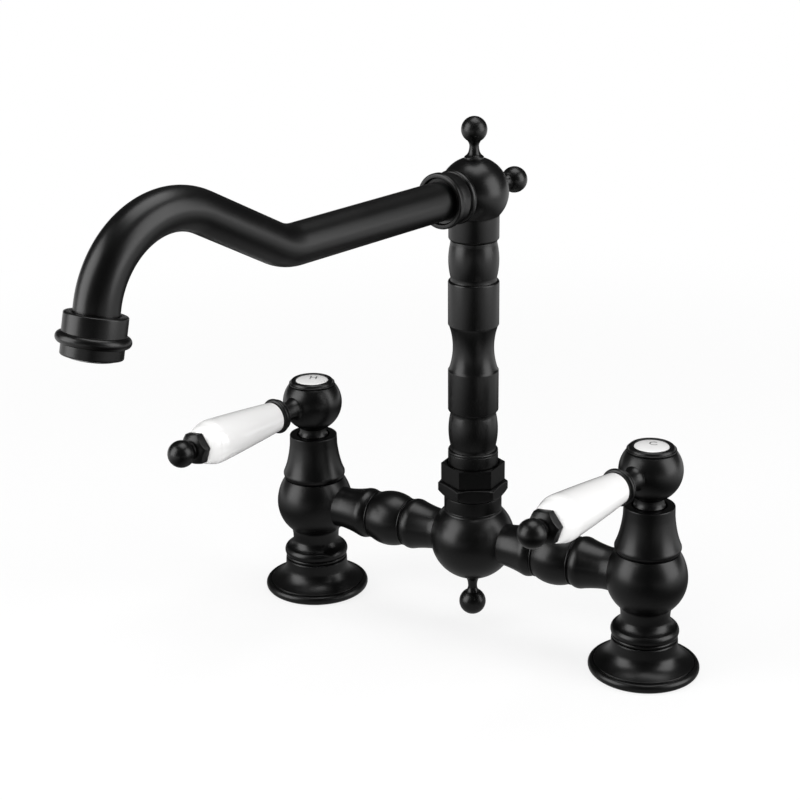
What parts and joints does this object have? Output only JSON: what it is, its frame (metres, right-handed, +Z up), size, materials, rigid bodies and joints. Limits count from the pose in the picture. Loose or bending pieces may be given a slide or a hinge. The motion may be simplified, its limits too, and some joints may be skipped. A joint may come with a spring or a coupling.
{
  "type": "bridge kitchen faucet",
  "caption": "Deck mounted bridge faucet with turned pillar valves, porcelain lever handles and a tall swivelling gooseneck spout.",
  "frame": {"origin": "on the deck, midway between the two posts, under the axis that the spout turns about", "axes": "+Z up; +X from the hot post towards the cold post; -Y towards the user"},
  "size_m": [0.2556, 0.2956, 0.2787],
  "materials": {
    "satin_black": "satin",
    "porcelain": "glazed",
    "brass_valve": "machined",
    "ceramic_disc": "lapped",
    "rubber_seal": "matte",
    "nylon_washer": "matte",
    "bright_steel": "polished",
    "steel_mesh": "woven"
  },
  "bodies": {
    "bridge": {"hot_base_flange": "satin_black", "hot_deck_seal": "rubber_seal", "hot_inlet_bush": "brass_valve", "hot_pillar_body": "satin_black", "hot_bonnet": "satin_black", "hot_cartridge": "brass_valve", "hot_cartridge_seal": "rubber_seal", "hot_fixed_disc": "ceramic_disc", "cold_base_flange": "satin_black", "cold_deck_seal": "rubber_seal", "cold_inlet_bush": "brass_valve", "cold_pillar_body": "satin_black", "cold_bonnet": "satin_black", "cold_cartridge": "brass_valve", "cold_cartridge_seal": "rubber_seal", "cold_fixed_disc": "ceramic_disc", "hot_bridge_arm": "satin_black", "cold_bridge_arm": "satin_black", "middle_body": "satin_black", "bottom_finial": "satin_black", "lock_nut": "satin_black", "gland_nut": "satin_black", "thrust_washer": "nylon_washer"},
    "hot_handle": {"hot_moving_disc": "ceramic_disc", "hot_spindle": "brass_valve", "hot_index_ring": "satin_black", "hot_index_disc": "porcelain", "hot_handle_screw": "bright_steel", "hot_handle_hub": "satin_black", "hot_lever_collar": "satin_black", "hot_lever_rod": "bright_steel", "hot_lever_grip": "porcelain", "hot_lever_finial": "satin_black"},
    "cold_handle": {"cold_moving_disc": "ceramic_disc", "cold_spindle": "brass_valve", "cold_index_ring": "satin_black", "cold_index_disc": "porcelain", "cold_handle_screw": "bright_steel", "cold_handle_hub": "satin_black", "cold_lever_collar": "satin_black", "cold_lever_rod": "bright_steel", "cold_lever_grip": "porcelain", "cold_lever_finial": "satin_black"},
    "spout": {"riser_column": "satin_black", "lower_o_ring": "rubber_seal", "upper_o_ring": "rubber_seal", "retaining_ring": "bright_steel", "spout_head": "satin_black", "top_finial": "satin_black", "back_finial": "satin_black", "spout_collar": "satin_black", "spout_tube": "satin_black", "nozzle": "satin_black", "aerator_housing": "bright_steel", "aerator_screen": "steel_mesh", "aerator_washer": "rubber_seal"}
  },
  "joints": [
    {"name": "hot_handle_turn", "type": "hinge", "parent": "bridge", "child": "hot_handle", "pos_m": [-0.1, 0, 0.1098], "axis": [0, 0, 1], "range_deg": [-90, 0]},
    {"name": "cold_handle_turn", "type": "hinge", "parent": "bridge", "child": "cold_handle", "pos_m": [0.1, 0, 0.1098], "axis": [0, 0, 1], "range_deg": [0, 90]},
    {"name": "spout_swivel", "type": "hinge", "parent": "bridge", "child": "spout", "pos_m": [0, 0, 0.0735], "axis": [0, 0, 1], "continuous": true}
  ]
}
